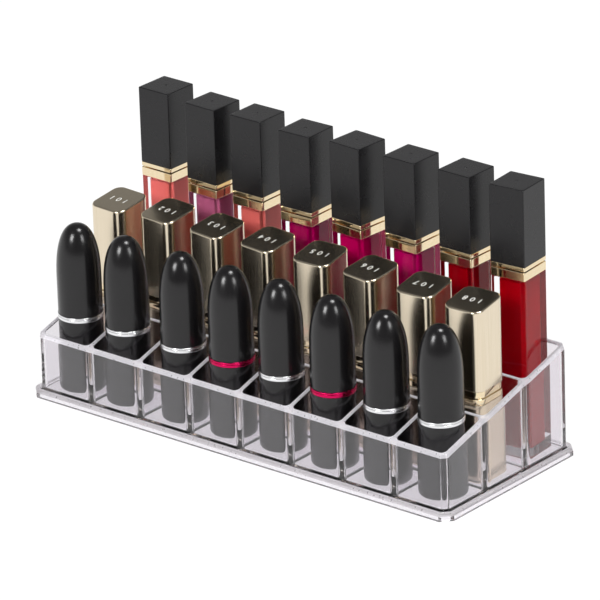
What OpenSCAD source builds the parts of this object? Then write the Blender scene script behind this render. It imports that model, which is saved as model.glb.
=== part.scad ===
// Clear vanity organizer: one moulded tray with three stepped rows of pockets, filled with
// lipsticks and lip glosses. All sizes are in millimetres. The origin is the middle of the tray's
// underside. +X runs along the rows, +Y from the low front wall to the high back wall, and +Z is up.

/* [Tray] */
// Pockets in each row
columns = 8; // [3:1:8]
// Pocket spacing along a row
pitch_x = 27.5; // [26:0.5:36]
// Pocket spacing from one row to the next
pitch_y = 27; // [26:0.5:36]
// Thickness of every upright wall
wall = 2.2; // [1.2:0.1:3]
// Inside corner radius of a pocket
pocket_corner_r = 2.3; // [1:0.1:3]
// Height of the front wall above the pocket floor
front_h = 25.2; // [16:0.2:30]
// Rise of the wall top from each row to the next
row_rise = 7; // [2:0.5:12]
// Corner chamfer of the upright walls
wall_chamfer = 2.4; // [1:0.1:3]
// Height of the base, from the table to the pocket floor
base_h = 3.5; // [3:0.1:6]
// Thickness of the pocket floor
floor_t = 2; // [1.2:0.1:2.5]
// How far the base flange stands out from the walls
flange_out = 3.1; // [1:0.1:6]
// Corner chamfer of the base flange
flange_chamfer = 4.6; // [2:0.1:6]
// Width of the rim that the tray stands on
rim_w = 2.6; // [2:0.1:6]

/* [Lipstick insides] */
// Outer radius of the inner tube
tube_r = 7.2; // [6.5:0.1:7.5]
// Wall of the inner tube
tube_wall = 0.9; // [0.5:0.1:1.2]
// Height of the inner tube above the collar
tube_out = 20; // [14:0.5:21]
// Radius of the wax stick
wax_r = 6; // [4.5:0.1:6]
// Depth of the wax tip below the rim of its tube
wax_below = 2; // [1:0.5:4]
// Angle of the slanted wax tip
wax_slant = 38; // [20:1:50]
// Thickness of the cup that carries the wax
carrier_t = 3; // [2:0.5:5]
// Solid bottom of the base under the inner tube
tube_floor = 3; // [2:0.5:6]

/* [Round lipsticks] */
// Radius of the base and cap
bullet_r = 9.6; // [9:0.1:10]
// Height of the base
bullet_base_h = 32.4; // [28:0.2:40]
// Radius of the rounded bottom edge
bullet_edge_r = 1.8; // [0.5:0.1:2.5]
// Height of the bright ring between base and cap
bullet_ring_h = 2.2; // [1:0.1:4]
// How far the ring stands proud of the base
bullet_ring_proud = 0.25; // [0:0.05:0.5]
// Height of the straight part of the cap
bullet_cap_h = 15.9; // [10:0.1:30]
// Height of the domed end of the cap
bullet_dome_h = 24; // [14:0.5:30]
// Fullness of the dome: 2 is a plain ellipse, higher is blunter
bullet_dome_power = 2.4; // [2:0.1:3]
// Cap thickness at the tip of the dome
bullet_tip_t = 2.4; // [1:0.1:4]

/* [Square lipsticks] */
// Width across the flats
square_w = 18.7; // [17.5:0.1:19]
// Corner radius of the case
square_corner_r = 4.1; // [3:0.1:5.5]
// Height of the base
square_base_h = 34.6; // [28:0.2:40]
// Height of the lower collar band
square_band_h = 2.6; // [1:0.1:4]
// Height of the upper collar step
square_step_h = 3.2; // [1:0.1:4]
// How far the upper collar step is set in
square_step_in = 0.4; // [0.2:0.1:0.8]
// Height of the cap at the middle of its top
square_cap_h = 36.8; // [30:0.2:44]
// Slant of the cap top, which rises towards the back
square_top_slant = 8.5; // [0:0.5:12]
// Wall of the cap
square_cap_wall = 1.3; // [0.8:0.1:1.5]
// Thickness of the cap top at its lowest edge
square_cap_top = 1.8; // [1:0.1:3]

/* [Lip glosses] */
// Width across the flats
gloss_w = 16.7; // [15:0.1:18]
// Height of the clear bottle
gloss_bottle_h = 79.4; // [60:0.2:90]
// Wall of the clear bottle
gloss_wall = 3.1; // [1.2:0.1:3.5]
// Thickness of the clear bottle floor
gloss_floor = 3.7; // [3:0.1:14]
// Thickness of the bottle shoulder
gloss_shoulder = 1; // [0.8:0.1:4]
// Corner radius of the gloss inside its bottle
gloss_core_r = 0.8; // [0.6:0.1:3]
// Radius of the bottle neck
gloss_neck_r = 5; // [4.6:0.1:5.6]
// Height of the neck above the collar
gloss_neck_h = 9; // [6:0.5:14]
// Height of the metal collar around the neck
gloss_collar_h = 3.9; // [2:0.1:8]
// Height of the metal ring on the lower end of the cap
gloss_ring_h = 1.9; // [1:0.1:4]
// Dark gap between collar and ring
gloss_gap_h = 0.5; // [0.3:0.1:1]
// Length of the black cap above its ring
gloss_cap_h = 34.1; // [20:0.1:45]
// Radius of the dimple in the middle of the cap top
gloss_dimple_r = 0.6; // [0.3:0.1:1.5]
// Depth of the dimple
gloss_dimple_h = 0.4; // [0.2:0.1:1]
// Wall of the wiper sleeve inside the neck
wiper_wall = 1; // [0.6:0.1:1.2]
// Radius of the wand
wand_r = 1.6; // [1:0.1:1.6]
// Length of wand held in the cap
wand_hold = 8; // [4:0.5:12]
// Distance from the applicator's tip to the floor inside the bottle
wand_above = 6; // [2:0.5:12]
// Radius of the soft applicator
applicator_r = 2.4; // [2:0.1:2.6]
// Length of the applicator
applicator_h = 12; // [8:0.5:16]
// Length of wand inside the applicator
applicator_hold = 8; // [3:0.5:10]

/* [Fits] */
// Gap between a standing item and the pocket wall when it is pushed against it
seat_gap = 0.4; // [0.3:0.1:1]
// Running gap between a cap and what it covers
cap_gap = 0.35; // [0.3:0.05:0.6]
// Gap around a piece that is pushed into another one
fit_gap = 0.1; // [0.05:0.05:0.2]
// Hairline seam where one piece of an item stands on another
seam = 0.05; // [0.05:0.05:0.2]

/* [Hidden] */
$fn = 64;
rows = 3;
overrun = wall;
row_numbers = [1 : columns];

// Each item stands a little off the middle of its pocket, by a share of the free play along X and Y,
// and is turned a little about its own middle
bullet_seat_shares = [
    [-0.25, -0.55], [-0.9, -0.2], [0.5, -0.15], [0.2, -0.15],
    [-0.25, 0.25], [0.1, -0.1], [0.4, -0.05], [0.35, 0.65]
];
square_seat_shares = [
    [0.25, -0.9], [-0.7, 0.3], [-0.45, -0.25], [-0.5, 0.1],
    [-0.25, 0.35], [-0.45, 0.25], [0.35, -0.35], [-0.1, -0.9]
];
gloss_seat_shares = [
    [0.55, 0.75], [0.9, -0.2], [0.1, -0.1], [0.25, -0.65],
    [0, -0.2], [0.25, -0.1], [0.45, 0.15], [0.15, 0.25]
];
square_turns = [-4, -4, -6, -5, 3, -6, 3, 3];
gloss_turns = [-1, -2, 0, 1, -4, -1, -1, 5];

// Colours, one for each column
ring_colours = ["silver", "silver", "silver", "crimson", "silver", "crimson", "silver", "silver"];
wax_colours = [
    "firebrick", "indianred", "crimson", "palevioletred",
    "brown", "crimson", "firebrick", "rosybrown"
];
gloss_colours = [
    "salmon", "orchid", "tomato", "deeppink",
    "mediumvioletred", "deeppink", "firebrick", "red"
];

// Tray sizes that follow from the driving ones
pocket_x = pitch_x - wall;
pocket_y = pitch_y - wall;
body_x = columns * pitch_x + wall;
body_y = rows * pitch_y + wall;
back_h = front_h + rows * row_rise;
foot_x = body_x + 2 * flange_out;
foot_y = body_y + 2 * flange_out;

// Heights inside the items, above the pocket floor
bullet_collar_z = bullet_base_h + bullet_ring_h;
square_collar_z = square_base_h + square_band_h + square_step_h;
gloss_collar_z = gloss_bottle_h + gloss_collar_h;
gloss_ring_z = gloss_collar_z + gloss_gap_h;
gloss_cap_z = gloss_ring_z + gloss_ring_h;
gloss_neck_top = gloss_collar_z + gloss_neck_h;
gloss_core_w = gloss_w - 2 * gloss_wall;
gloss_core_top = gloss_bottle_h - gloss_shoulder;
gloss_bore_r = applicator_r + cap_gap;
wiper_r = gloss_bore_r + wiper_wall;
wiper_h = gloss_neck_top - gloss_core_top;
cap_ceiling = gloss_neck_top + cap_gap;
wand_tip = gloss_floor + wand_above;
dome_steps = 24;

function column_x(n) = (n - (columns + 1) / 2) * pitch_x;
function row_y(row) = (row - (rows + 1) / 2) * pitch_y;
function wall_y(i) = (i - rows / 2) * pitch_y;
function wall_z(i) = base_h + front_h + i * row_rise;

// Half the width that a square item takes up when it is turned
function half_span(w, turn) = w / 2 * (cos(turn) + sin(abs(turn)));

// Free play of an item on either side of the pocket's middle
function play(pocket, half) = pocket / 2 - half - seat_gap;

module at_seat(n, row, half, shares, turn = 0) {
    translate([
        column_x(n) + shares[n - 1][0] * play(pocket_x, half),
        row_y(row) + shares[n - 1][1] * play(pocket_y, half),
        base_h
    ]) rotate([0, 0, turn]) children();
}

module at_bullet_seat(n) {
    at_seat(n, 1, bullet_r + bullet_ring_proud, bullet_seat_shares) children();
}

module at_square_seat(n) {
    turn = square_turns[n - 1];
    at_seat(n, 2, half_span(square_w, turn), square_seat_shares, turn) children();
}

module at_gloss_seat(n) {
    turn = gloss_turns[n - 1];
    at_seat(n, 3, half_span(gloss_w, turn), gloss_seat_shares, turn) children();
}

// Flat outlines
module rounded_rectangle(w, d, r) {
    square([w, d - 2 * r], center = true);
    square([w - 2 * r, d], center = true);
    for (x = [-1, 1], y = [-1, 1])
        translate([x * (w / 2 - r), y * (d / 2 - r)]) circle(r);
}

module chamfered_rectangle(w, d, c) {
    polygon([
        [-w / 2 + c, -d / 2], [w / 2 - c, -d / 2], [w / 2, -d / 2 + c], [w / 2, d / 2 - c],
        [w / 2 - c, d / 2], [-w / 2 + c, d / 2], [-w / 2, d / 2 - c], [-w / 2, -d / 2 + c]
    ]);
}

// Side outline of the walls: level where a long wall runs, sloping over each row of pockets
module stepped_outline() {
    polygon(concat(
        [[-body_y / 2, 0]],
        [for (i = [0 : rows], side = [-1, 1]) [wall_y(i) + side * wall / 2, wall_z(i)]],
        [[body_y / 2, 0]]
    ));
}

module pockets() {
    for (n = row_numbers, row = [1 : rows])
        translate([column_x(n), row_y(row), base_h])
            linear_extrude(back_h + overrun) rounded_rectangle(pocket_x, pocket_y, pocket_corner_r);
}

module tray() {
    color("lavender", 0.35) difference() {
        union() {
            linear_extrude(base_h) chamfered_rectangle(foot_x, foot_y, flange_chamfer);
            intersection() {
                linear_extrude(base_h + back_h) chamfered_rectangle(body_x, body_y, wall_chamfer);
                rotate([90, 0, 90]) linear_extrude(body_x, center = true) stepped_outline();
            }
        }
        pockets();
        translate([0, 0, -overrun])
            linear_extrude(base_h - floor_t + overrun)
                chamfered_rectangle(foot_x - 2 * rim_w, foot_y - 2 * rim_w, flange_chamfer);
    }
}

// Inner tube with the wax stick in its carrier, standing on the floor of a socket in the base
module tube_and_wax(collar_z, wax_colour) {
    rim_z = collar_z + tube_out;
    foot_z = tube_floor + seam;
    wax_z = foot_z + carrier_t + seam;
    tip_z = rim_z - wax_below;
    slant_h = 2 * wax_r * tan(wax_slant);
    color("silver") translate([0, 0, foot_z]) difference() {
        cylinder(r = tube_r, h = rim_z - foot_z);
        translate([0, 0, -overrun]) cylinder(r = tube_r - tube_wall, h = rim_z + overrun);
    }
    color("gold") translate([0, 0, foot_z])
        cylinder(r = tube_r - tube_wall - fit_gap, h = carrier_t);
    color(wax_colour) difference() {
        translate([0, 0, wax_z]) cylinder(r = wax_r, h = tip_z - wax_z);
        translate([0, -wax_r, tip_z - slant_h]) rotate([wax_slant, 0, 0])
            translate([-tube_r, 0, 0]) cube([2 * tube_r, 4 * tube_r, slant_h]);
    }
}

// Round bore that holds the inner tube
module tube_socket(top_z) {
    translate([0, 0, tube_floor])
        cylinder(r = tube_r + fit_gap, h = top_z - tube_floor + overrun);
}

module bullet_case(ring_colour, wax_colour) {
    color("#2a292a") difference() {
        rotate_extrude() {
            translate([0, bullet_edge_r]) square([bullet_r, bullet_base_h - seam - bullet_edge_r]);
            square([bullet_r - bullet_edge_r, bullet_edge_r]);
            translate([bullet_r - bullet_edge_r, bullet_edge_r]) intersection() {
                circle(bullet_edge_r);
                translate([0, -bullet_edge_r]) square(bullet_edge_r);
            }
        }
        tube_socket(bullet_base_h);
    }
    color(ring_colour) difference() {
        translate([0, 0, bullet_base_h])
            cylinder(r = bullet_r + bullet_ring_proud, h = bullet_ring_h);
        tube_socket(bullet_collar_z);
    }
    tube_and_wax(bullet_collar_z, wax_colour);
}

// Quarter of a full ellipse from the rim of a dome up to its tip
function dome_points(r, z, h) = let (e = 2 / bullet_dome_power)
    [for (i = [0 : dome_steps]) let (a = 90 * i / dome_steps)
        [i == dome_steps ? 0 : r * pow(cos(a), e), z + h * pow(sin(a), e)]];
function reversed(points) = [for (i = [len(points) - 1 : -1 : 0]) points[i]];

module bullet_cap() {
    inner_r = tube_r + cap_gap;
    color("#2a292a") translate([0, 0, bullet_collar_z]) rotate_extrude()
        polygon(concat(
            [[inner_r, 0], [bullet_r, 0]],
            dome_points(bullet_r, bullet_cap_h, bullet_dome_h),
            reversed(dome_points(inner_r, bullet_cap_h, bullet_dome_h - bullet_tip_t))
        ));
}

module square_case(wax_colour) {
    color("#c9b79f") difference() {
        linear_extrude(square_base_h - seam) rounded_rectangle(square_w, square_w, square_corner_r);
        tube_socket(square_base_h);
    }
    color("#d8b25c") difference() {
        union() {
            translate([0, 0, square_base_h]) linear_extrude(square_band_h)
                rounded_rectangle(square_w, square_w, square_corner_r);
            translate([0, 0, square_base_h + square_band_h]) linear_extrude(square_step_h)
                rounded_rectangle(square_w - 2 * square_step_in, square_w - 2 * square_step_in,
                    square_corner_r - square_step_in);
        }
        tube_socket(square_collar_z);
    }
    tube_and_wax(square_collar_z, wax_colour);
}

module square_cap() {
    inner_w = square_w - 2 * square_cap_wall;
    half_rise = square_w / 2 * tan(square_top_slant);
    inner_h = square_cap_h - half_rise - square_cap_top;
    color("#cdbca4") translate([0, 0, square_collar_z]) difference() {
        linear_extrude(square_cap_h + half_rise)
            rounded_rectangle(square_w, square_w, square_corner_r);
        translate([0, 0, square_cap_h]) rotate([square_top_slant, 0, 0])
            translate([-square_w, -square_w, 0]) cube([2 * square_w, 2 * square_w, square_w]);
        translate([0, 0, -overrun]) linear_extrude(inner_h + overrun)
            rounded_rectangle(inner_w, inner_w, square_corner_r - square_cap_wall);
    }
}

// Space inside the bottle
module gloss_core() {
    translate([0, 0, gloss_floor]) linear_extrude(gloss_core_top - gloss_floor)
        rounded_rectangle(gloss_core_w, gloss_core_w, gloss_core_r);
}

// Square slab of the bottle's outline with a round hole down the middle
module pierced_slab(z, h, hole_r) {
    translate([0, 0, z]) difference() {
        linear_extrude(h) square(gloss_w, center = true);
        translate([0, 0, -overrun]) cylinder(r = hole_r, h = h + 2 * overrun);
    }
}

module gloss_bottle() {
    color("lavender", 0.4) difference() {
        union() {
            linear_extrude(gloss_bottle_h) square(gloss_w, center = true);
            translate([0, 0, gloss_core_top]) cylinder(r = gloss_neck_r, h = wiper_h);
        }
        gloss_core();
        translate([0, 0, gloss_core_top - seam])
            cylinder(r = wiper_r + fit_gap, h = wiper_h + overrun);
    }
    color("white") translate([0, 0, gloss_core_top]) difference() {
        cylinder(r = wiper_r, h = wiper_h);
        translate([0, 0, -overrun]) cylinder(r = gloss_bore_r, h = wiper_h + 2 * overrun);
    }
    color("#d8b25c") pierced_slab(gloss_bottle_h + seam, gloss_collar_h - seam, gloss_neck_r + fit_gap);
}

// The gloss leaves the way of the applicator free
module gloss_fluid(colour) {
    color(colour) difference() {
        gloss_core();
        translate([0, 0, wand_tip - cap_gap])
            cylinder(r = gloss_bore_r, h = gloss_core_top - wand_tip + overrun);
    }
}

module gloss_cap() {
    cavity_r = gloss_neck_r + cap_gap;
    wand_foot = wand_tip + applicator_h - applicator_hold;
    color("#d8b25c") pierced_slab(gloss_ring_z, gloss_ring_h - seam, cavity_r);
    color("#2c2b2d") difference() {
        translate([0, 0, gloss_cap_z]) linear_extrude(gloss_cap_h) square(gloss_w, center = true);
        translate([0, 0, gloss_cap_z - overrun])
            cylinder(r = cavity_r, h = cap_ceiling - gloss_cap_z + overrun);
        translate([0, 0, cap_ceiling - overrun])
            cylinder(r = wand_r + fit_gap, h = wand_hold + overrun);
        translate([0, 0, gloss_cap_z + gloss_cap_h - gloss_dimple_h])
            cylinder(r = gloss_dimple_r, h = gloss_dimple_h + overrun);
    }
    color("white") translate([0, 0, wand_foot])
        cylinder(r = wand_r, h = cap_ceiling + wand_hold - seam - wand_foot);
    color("lightgray") translate([0, 0, wand_tip]) difference() {
        union() {
            translate([0, 0, applicator_r]) sphere(applicator_r);
            translate([0, 0, applicator_r]) cylinder(r = applicator_r, h = applicator_h - applicator_r);
        }
        translate([0, 0, applicator_h - applicator_hold - seam])
            cylinder(r = wand_r + fit_gap, h = applicator_h);
    }
}

tray();
for (n = row_numbers) {
    at_bullet_seat(n) bullet_case(ring_colours[n - 1], wax_colours[n - 1]);
    at_bullet_seat(n) bullet_cap();
    at_square_seat(n) square_case(wax_colours[n - 1]);
    at_square_seat(n) square_cap();
    at_gloss_seat(n) gloss_bottle();
    at_gloss_seat(n) gloss_fluid(gloss_colours[n - 1]);
    at_gloss_seat(n) gloss_cap();
}
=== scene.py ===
from math import cos, pi, radians, sin, sqrt, tan

import bmesh
import bpy
import numpy as np
from mathutils import Matrix, Vector


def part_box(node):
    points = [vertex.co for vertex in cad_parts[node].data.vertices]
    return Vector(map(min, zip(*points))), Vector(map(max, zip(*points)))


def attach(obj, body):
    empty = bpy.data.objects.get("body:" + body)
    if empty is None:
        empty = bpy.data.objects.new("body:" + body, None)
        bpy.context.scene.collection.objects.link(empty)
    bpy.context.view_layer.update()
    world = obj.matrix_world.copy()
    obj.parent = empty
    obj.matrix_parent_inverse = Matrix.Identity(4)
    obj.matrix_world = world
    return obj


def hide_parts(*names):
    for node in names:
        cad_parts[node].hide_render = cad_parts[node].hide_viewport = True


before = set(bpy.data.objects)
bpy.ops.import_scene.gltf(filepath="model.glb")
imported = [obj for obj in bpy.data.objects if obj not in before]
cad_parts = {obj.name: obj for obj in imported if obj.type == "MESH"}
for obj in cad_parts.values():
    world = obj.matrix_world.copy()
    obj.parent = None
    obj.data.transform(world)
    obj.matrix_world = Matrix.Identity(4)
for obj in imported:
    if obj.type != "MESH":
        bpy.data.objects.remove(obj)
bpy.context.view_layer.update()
MM = 0.001


# The photographer's table: a plain white floor under a white room that darkens upwards, with one
# softbox overhead and one on either side. The camera stands where the photographer's stood.
def linear(sheet_colour):
    """Linear colour of an sRGB hex value: each channel c is ((c + 0.055) / 1.055) ** 2.4."""
    channels = np.array([int(sheet_colour[i:i + 2], 16) for i in (0, 2, 4)]) / 255
    return (*np.where(channels > 0.04045, ((channels + 0.055) / 1.055) ** 2.4, channels / 12.92), 1)


def add_node(tree, kind, sockets=None, **settings):
    """Add a node. settings are its properties, sockets the values or the outputs that feed its inputs."""
    node = tree.nodes.new(kind)
    for name, value in settings.items():
        setattr(node, name, value)
    for name, value in (sockets or {}).items():
        if isinstance(value, bpy.types.NodeSocket):
            tree.links.new(value, node.inputs[name])
        else:
            node.inputs[name].default_value = value
    return node


def new_material(name):
    """An empty material and its node tree."""
    material = bpy.data.materials.new(name)
    material.use_nodes = True
    material.node_tree.nodes.clear()
    return material, material.node_tree


def background_rays(tree):
    """Output that is 1 for the rays that see the background: the camera's, those off shiny faces and
    those through clear plastic. It is 0 for the rays that gather light for a matt face."""
    path = add_node(tree, "ShaderNodeLightPath")
    seen = add_node(tree, "ShaderNodeMath", {
        0: path.outputs["Is Camera Ray"], 1: path.outputs["Is Glossy Ray"]}, operation="MAXIMUM")
    seen = add_node(tree, "ShaderNodeMath", {
        0: seen.outputs[0], 1: path.outputs["Is Transmission Ray"]}, operation="MAXIMUM")
    return seen.outputs[0]


camera_turn = radians(40.188)
camera_rise = radians(22.601)
camera_roll = radians(-1.904)
camera_aim = np.array([0, 2.29, 55.76]) * MM
camera_distance = 2668.86 * MM
lens_mm = 381.45

towards_camera = np.array([sin(camera_turn) * cos(camera_rise), -cos(camera_turn) * cos(camera_rise),
                           sin(camera_rise)])
level_right = np.array([cos(camera_turn), sin(camera_turn), 0])
level_up = np.cross(towards_camera, level_right)
camera_place = np.eye(4)
camera_place[:3, 0] = cos(camera_roll) * level_right + sin(camera_roll) * level_up
camera_place[:3, 1] = cos(camera_roll) * level_up - sin(camera_roll) * level_right
camera_place[:3, 2] = towards_camera
camera_place[:3, 3] = camera_aim + towards_camera * camera_distance

camera = bpy.data.objects.new("camera", bpy.data.cameras.new("camera"))
camera.data.lens = lens_mm
camera.data.clip_start = 0.1
camera.data.clip_end = 100
camera.matrix_world = Matrix(camera_place.tolist())
bpy.context.collection.objects.link(camera)
bpy.context.scene.camera = camera
bpy.context.scene.view_settings.view_transform = "Standard"

# Clear walls stand behind clear walls here, so a ray may pass many surfaces
bpy.context.scene.cycles.max_bounces = 28
bpy.context.scene.cycles.transmission_bounces = 28
bpy.context.scene.cycles.glossy_bounces = 10

# The room as the eye, metal and plastic see it: behind the object a white sweep that darkens upwards,
# towards the camera a dark studio. Each stop is the sine of a height angle, raised by camera_side
# for directions towards the camera, and the brightness there. Its light on matt faces is even.
room_stops = [(0.0, 1.0), (0.1, 0.85), (0.36, 0.34), (0.57, 0.2), (0.85, 0.15)]
camera_side = 0.8
room_light = 0.75
world = bpy.data.worlds.new("room")
world.use_nodes = True
bpy.context.scene.world = world
tree = world.node_tree
tree.nodes.clear()
direction = add_node(tree, "ShaderNodeTexCoord")
height = add_node(tree, "ShaderNodeSeparateXYZ", {"Vector": direction.outputs["Generated"]})
front = add_node(tree, "ShaderNodeVectorMath", {
    0: direction.outputs["Generated"], 1: (sin(camera_turn), -cos(camera_turn), 0)}, operation="DOT_PRODUCT")
front = add_node(tree, "ShaderNodeMath", {0: front.outputs["Value"], 1: 0.0}, operation="MAXIMUM")
raised = add_node(tree, "ShaderNodeMath", {0: front.outputs[0], 1: camera_side, 2: height.outputs["Z"]},
                  operation="MULTIPLY_ADD")
ramp = add_node(tree, "ShaderNodeValToRGB", {"Fac": raised.outputs[0]})
while len(ramp.color_ramp.elements) < len(room_stops):
    ramp.color_ramp.elements.new(0.5)
for element, (stop, level) in zip(ramp.color_ramp.elements, room_stops):
    element.position = stop
    element.color = (level, level, level, 1)
room = add_node(tree, "ShaderNodeBackground", {"Color": ramp.outputs["Color"]})
even = add_node(tree, "ShaderNodeBackground", {"Color": (1, 1, 1, 1), "Strength": room_light})
both = add_node(tree, "ShaderNodeMixShader", {
    0: background_rays(tree), 1: even.outputs[0], 2: room.outputs[0]})
add_node(tree, "ShaderNodeOutputWorld", {"Surface": both.outputs[0]})

# Floor of matt white card. Most of what the eye, metal and clear plastic see of it is plain white,
# and the rest takes the lamps' light, so it keeps the object's shadow.
floor_half = 4.0
floor_drop = 0.02 * MM
floor_glow_share = 0.88
mesh = bpy.data.meshes.new("floor")
mesh.from_pydata([(x * floor_half, y * floor_half, -floor_drop) for x, y in
                  ((-1, -1), (1, -1), (1, 1), (-1, 1))], [], [(0, 1, 2, 3)])
floor = bpy.data.objects.new("floor", mesh)
bpy.context.collection.objects.link(floor)
white_card, tree = new_material("matt_white_card")
share = add_node(tree, "ShaderNodeMath", {
    0: background_rays(tree), 1: floor_glow_share}, operation="MULTIPLY")
card = add_node(tree, "ShaderNodeBsdfDiffuse", {"Color": linear("F4F4F4")})
glow = add_node(tree, "ShaderNodeEmission", {"Color": (1, 1, 1, 1), "Strength": 1.0})
both = add_node(tree, "ShaderNodeMixShader", {0: share.outputs[0], 1: card.outputs[0], 2: glow.outputs[0]})
add_node(tree, "ShaderNodeOutputMaterial", {"Surface": both.outputs[0]})
floor.data.materials.append(white_card)

# Each softbox: its height angle, its angle from the front towards the right end, its distance,
# width, height and power
softboxes = {
    "overhead_softbox": (76.8, 93.6, 1.2, 0.36, 0.36, 8.0),
    "left_softbox": (33.1, -6.6, 1.4, 0.42, 0.48, 11.0),
    "right_softbox": (33.4, 78.8, 1.4, 0.38, 0.48, 6.0),
}
for name, (rise, turn, distance, width, height_m, watts) in softboxes.items():
    towards = Vector((sin(radians(turn)) * cos(radians(rise)), -cos(radians(turn)) * cos(radians(rise)),
                      sin(radians(rise))))
    lamp = bpy.data.lights.new(name, "AREA")
    lamp.shape = "RECTANGLE"
    lamp.size = width
    lamp.size_y = height_m
    lamp.energy = watts
    softbox = bpy.data.objects.new(name, lamp)
    softbox.location = Vector(camera_aim.tolist()) + towards * distance
    softbox.rotation_euler = towards.to_track_quat("Z", "Y").to_euler()
    bpy.context.collection.objects.link(softbox)


# The tray: one clear injection moulding of crystal polystyrene. Thin walls part 24 pockets in three
# steps, and a flange runs round the foot. The mould leaves every wall top bevelled and soft, and
# the tray stands on a rim round its hollow underside.
columns = range(1, 9)
rows_of_pockets = range(3)
half_columns = len(columns) / 2
half_rows = len(rows_of_pockets) / 2
pitch_x = 27.5
pitch_y = 27.0
wall = 2.2
pocket_corner = 2.3
base_h = 3.5
front_h = 25.2
row_rise = 7.0
wall_chamfer = 2.4
flange_out = 3.1
flange_chamfer = 4.6
rim_w = 2.6
floor_t = 2.0
inner_bevel_w, inner_bevel_h = 0.5, 1.2
inner_lip_w, inner_lip_h, inner_lip_edge = 0.12, 0.2, 0.1
outer_bevel_w, outer_bevel_h, outer_bevel_edge = 0.8, 1.8, 0.2
outer_lip_w, outer_lip_h, outer_lip_edge = 0.3, 0.25, 0.15
floor_fillet = 0.7
foot_fillet = 1.0
flange_slope_w, flange_slope_h, flange_slope_edge = 1.0, 1.1, 0.35
flange_edge = 0.3
frosted_top_h = 2
least_top_rise = 0.2
least_flange_rise = 0.3
sharp_angle = 35
weld = 0.001
tiny = 1e-6
pocket_half_x = (pitch_x - wall) / 2
pocket_half_y = (pitch_y - wall) / 2
body_half_x = half_columns * pitch_x + wall / 2
body_half_y = half_rows * pitch_y + wall / 2


def filleted(corners, closed=False, steps=4):
    """Profile through (x, z, rounding) corners, each drawn in as a parabola between two points that
    lie at its rounding's distance along its two sides."""
    points = np.array([c[:2] for c in corners], float)
    rounding = [c[2] if len(c) > 2 else 0 for c in corners]
    share = np.linspace(0, 1, steps + 1)[:, None]
    made = []
    for i, (point, reach) in enumerate(zip(points, rounding)):
        if not reach or (not closed and i in (0, len(points) - 1)):
            made.append(point[None])
            continue
        before = points[i - 1] - point
        after = points[(i + 1) % len(points)] - point
        first = point + before / np.linalg.norm(before) * reach
        last = point + after / np.linalg.norm(after) * reach
        made.append((1 - share) ** 2 * first + 2 * share * (1 - share) * point + share ** 2 * last)
    return np.concatenate(made)


def wall_top(y):
    """Height of the walls: level over each long wall, and a straight slope over each row of pockets."""
    steps = [(y - (i - half_rows) * pitch_y - wall / 2) / (pitch_y - wall) for i in rows_of_pockets]
    return base_h + front_h + row_rise * sum(np.clip(step, 0, 1) for step in steps)


def octagon(around, half_x, half_y, chamfer, old_x, old_y, old_chamfer):
    """Points that lie on one chamfered rectangle, moved to another: a point keeps its share of the
    side or of the chamfer that it lies on."""
    x, y = around.T
    on_end = np.abs(x) > old_x - tiny
    on_side = np.abs(y) > old_y - tiny
    share = (old_x - np.abs(x)) / old_chamfer
    stretch_x = (half_x - chamfer) / (old_x - old_chamfer)
    stretch_y = (half_y - chamfer) / (old_y - old_chamfer)
    new_x = np.where(on_end, half_x, np.where(on_side, np.abs(x) * stretch_x, half_x - share * chamfer))
    new_y = np.where(on_side, half_y, np.where(
        on_end, np.abs(y) * stretch_y, half_y - (1 - share) * chamfer))
    return np.stack([np.sign(x) * new_x, np.sign(y) * new_y], 1)


# One pocket, from the flat top of its walls over the bevel, down the wall and over the fillet to the
# floor. Its outline is a square with quarter-circle corners, and each step is drawn in from it.
corner_steps = 8
quarter = np.linspace(0, pi / 2, corner_steps + 1)
turn = np.concatenate([quarter + side * pi / 2 for side in range(4)])
sign_x = np.repeat([1, -1, -1, 1], corner_steps + 1)
sign_y = np.repeat([1, 1, -1, -1], corner_steps + 1)
# A run past a profile's end only gives its last rounding a direction, and is cut off again
run = 5
pocket_profile = filleted([
    (inner_bevel_w, 0), (inner_lip_w, -inner_lip_h, inner_lip_edge), (0, -inner_bevel_h)], steps=3)
wall_foot = filleted([(0, run), (0, 0, floor_fillet), (-run, 0)], steps=4)


def pocket_row(out, centre_x, centre_y):
    """The pocket's outline, let out by out on every side."""
    radius = pocket_corner + out
    x = centre_x + sign_x * (pocket_half_x - pocket_corner) + radius * np.cos(turn)
    y = centre_y + sign_y * (pocket_half_y - pocket_corner) + radius * np.sin(turn)
    return x, y


# The flat top round one pocket reaches halfway over each wall that it shares, and to the outer bevel
# at the ends. A corner's points part evenly between its two sides, and over the corner's chamfer.
top_x = body_half_x - outer_bevel_w
top_y = body_half_y - outer_bevel_w
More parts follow.
